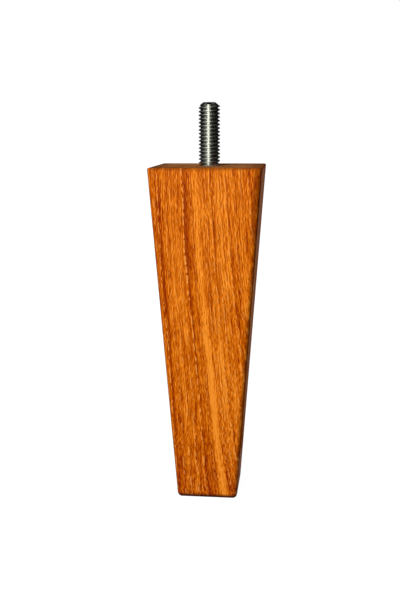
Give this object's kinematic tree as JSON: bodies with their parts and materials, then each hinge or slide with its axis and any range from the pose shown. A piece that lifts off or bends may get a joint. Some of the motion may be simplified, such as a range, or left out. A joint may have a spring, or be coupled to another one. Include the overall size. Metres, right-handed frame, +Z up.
{
  "type": "tapered furniture leg",
  "caption": "Square furniture leg of stained solid wood, tapered on all sides, with a threaded steel hanger bolt standing out of its wide end to screw into a seat or frame.",
  "frame": {"origin": "centre of the foot, on the plane that the leg stands on", "axes": "+Z up the leg's axis, from the foot through the wide end to the bolt's tip; X and Y square to its sides"},
  "size_m": [0.0488, 0.0488, 0.1801],
  "materials": {
    "stained_wood": "orange-brown stain under clear lacquer, straight grain along the leg",
    "zinc_steel": "bright zinc-plated steel with a rolled thread"
  },
  "bodies": {
    "root": {"leg": "stained_wood", "hanger_bolt": "zinc_steel"}
  },
  "joints": []
}
